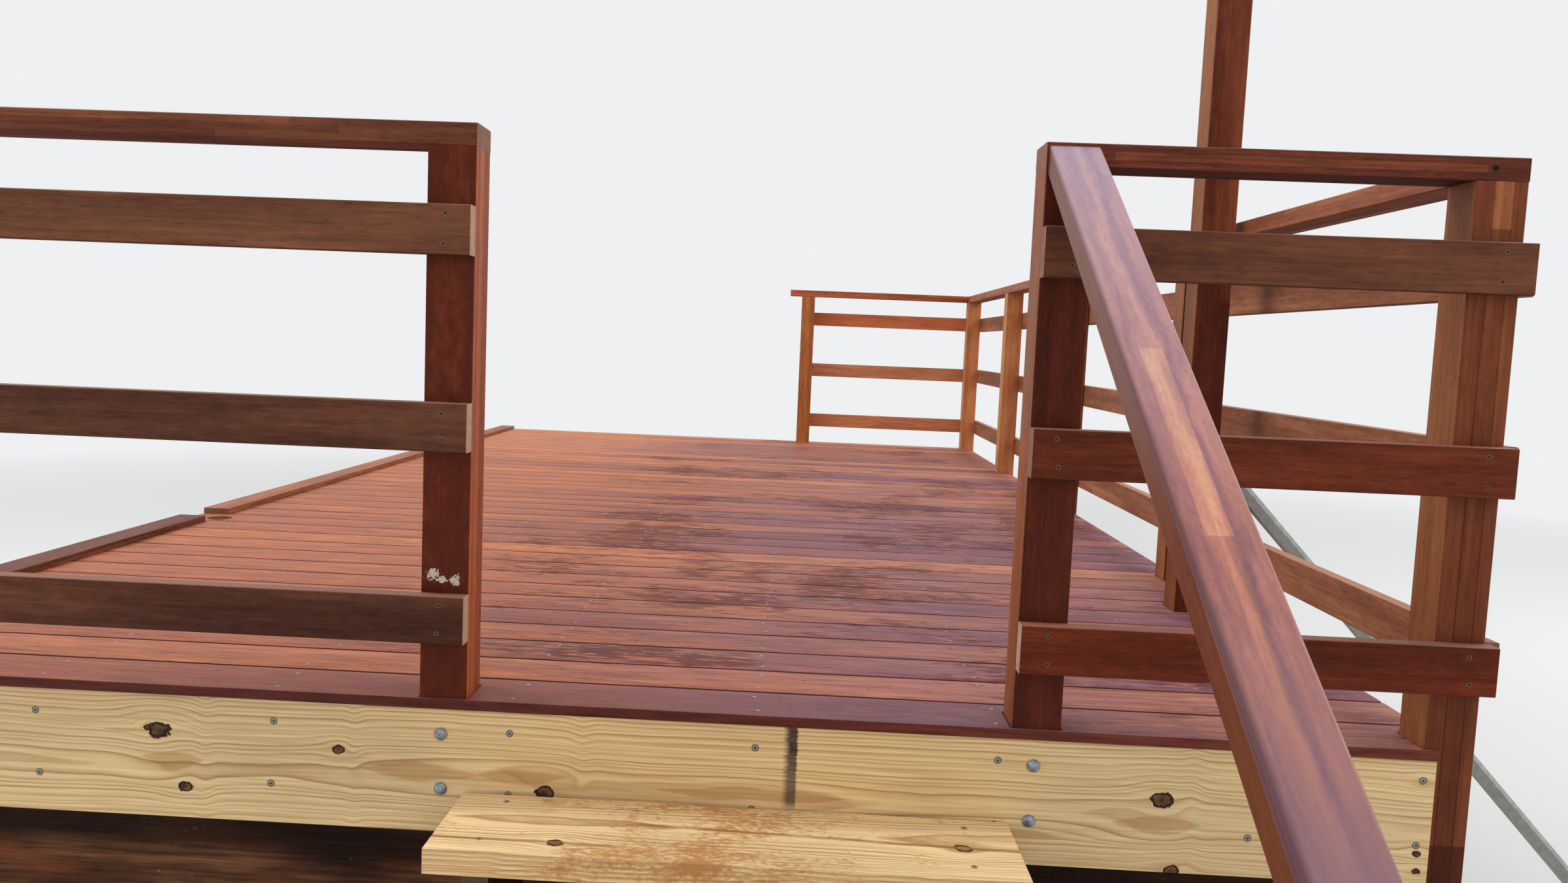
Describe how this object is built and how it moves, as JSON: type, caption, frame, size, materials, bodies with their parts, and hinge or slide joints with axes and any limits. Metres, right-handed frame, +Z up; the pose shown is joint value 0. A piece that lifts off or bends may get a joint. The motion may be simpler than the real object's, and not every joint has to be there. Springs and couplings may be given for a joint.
{
  "type": "raised timber deck with balustrades and entry stair",
  "caption": "Raised timber deck on stumps with post-and-rail balustrades, an open-riser entry stair, a sloping handrail, a tall post and its steel brace.",
  "frame": {"origin": "on the ground, in the middle of the whole outline seen from above", "axes": "+X to the right along the front, away from the house wall; +Y from the stair into the deck; +Z up"},
  "size_m": [4.5121, 7.29, 3.19],
  "materials": {
    "decking": "oiled red-brown hardwood boards, semi-gloss, board-to-board colour change",
    "trim": "oiled red-brown hardwood strip",
    "posts": "oiled dark red-brown hardwood, glued from strips",
    "orange_post": "oiled hardwood of a brighter orange tone",
    "rails": "oiled dark red-brown hardwood, pale end grain",
    "top_rails": "oiled red-brown hardwood, glued from strips, soft sheen",
    "treated_pine": "pale yellow treated pine, strong grain and knots, dull",
    "old_hardwood": "old dark weathered hardwood with scuffs",
    "galvanised_steel": "dull galvanised square tube"
  },
  "bodies": {
    "root": {"decking": "decking", "wall_trim": "trim", "wall_post": "posts", "left_post": "posts", "stair_post": "posts", "corner_post": "posts", "side_post_1": "posts", "side_post_2": "posts", "side_post_3": "posts", "far_corner_post": "posts", "tall_post": "posts", "foot_post": "posts", "far_post": "orange_post", "left_rail_1": "rails", "left_rail_2": "rails", "left_rail_3": "rails", "right_rail_1": "rails", "right_rail_2": "rails", "right_rail_3": "rails", "side_rail_1": "rails", "side_rail_2": "rails", "side_rail_3": "rails", "far_rail_1": "rails", "far_rail_2": "rails", "far_rail_3": "rails", "left_top_rail": "top_rails", "right_top_rail": "top_rails", "side_top_rail": "top_rails", "far_top_rail": "top_rails", "handrail": "top_rails", "front_rim": "treated_pine", "far_rim": "treated_pine", "side_joist": "treated_pine", "wall_joist": "treated_pine", "joists": "treated_pine", "tread_1": "treated_pine", "tread_2": "treated_pine", "tread_3": "treated_pine", "tread_4": "treated_pine", "bearers": "old_hardwood", "stumps": "old_hardwood", "stringer_left": "old_hardwood", "stringer_right": "old_hardwood", "steel_brace": "galvanised_steel"}
  },
  "joints": []
}
